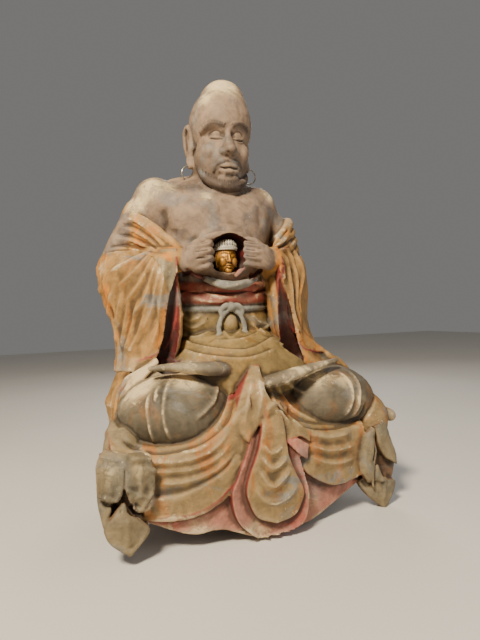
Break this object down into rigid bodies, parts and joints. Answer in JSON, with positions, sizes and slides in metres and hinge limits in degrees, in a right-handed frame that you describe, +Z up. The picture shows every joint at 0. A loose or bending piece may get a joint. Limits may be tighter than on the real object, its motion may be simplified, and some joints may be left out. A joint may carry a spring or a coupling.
{
  "type": "buddhist statue",
  "caption": "Seated luohan in carved and painted wood, parting his bare chest with both hands to show a small gilt face; robe slipped to the elbows, hems hanging over a plain low foot.",
  "frame": {"origin": "centre of the foot's flat underside, on the floor", "axes": "+Z up, the figure looks towards -Y, +X is the figure's left-hand side"},
  "size_m": [1.0598, 0.8334, 1.584],
  "materials": {
    "painted_wood": "aged paint over lacquered wood, worn to pale ground on the high places",
    "gilt_wood": "dull worn gilding with a pale painted diadem",
    "earring_wire": "thin dull metal wire"
  },
  "bodies": {
    "root": {"arhat_figure": "painted_wood", "inner_buddha_head": "gilt_wood", "earring_right": "earring_wire", "earring_left": "earring_wire"}
  },
  "joints": []
}
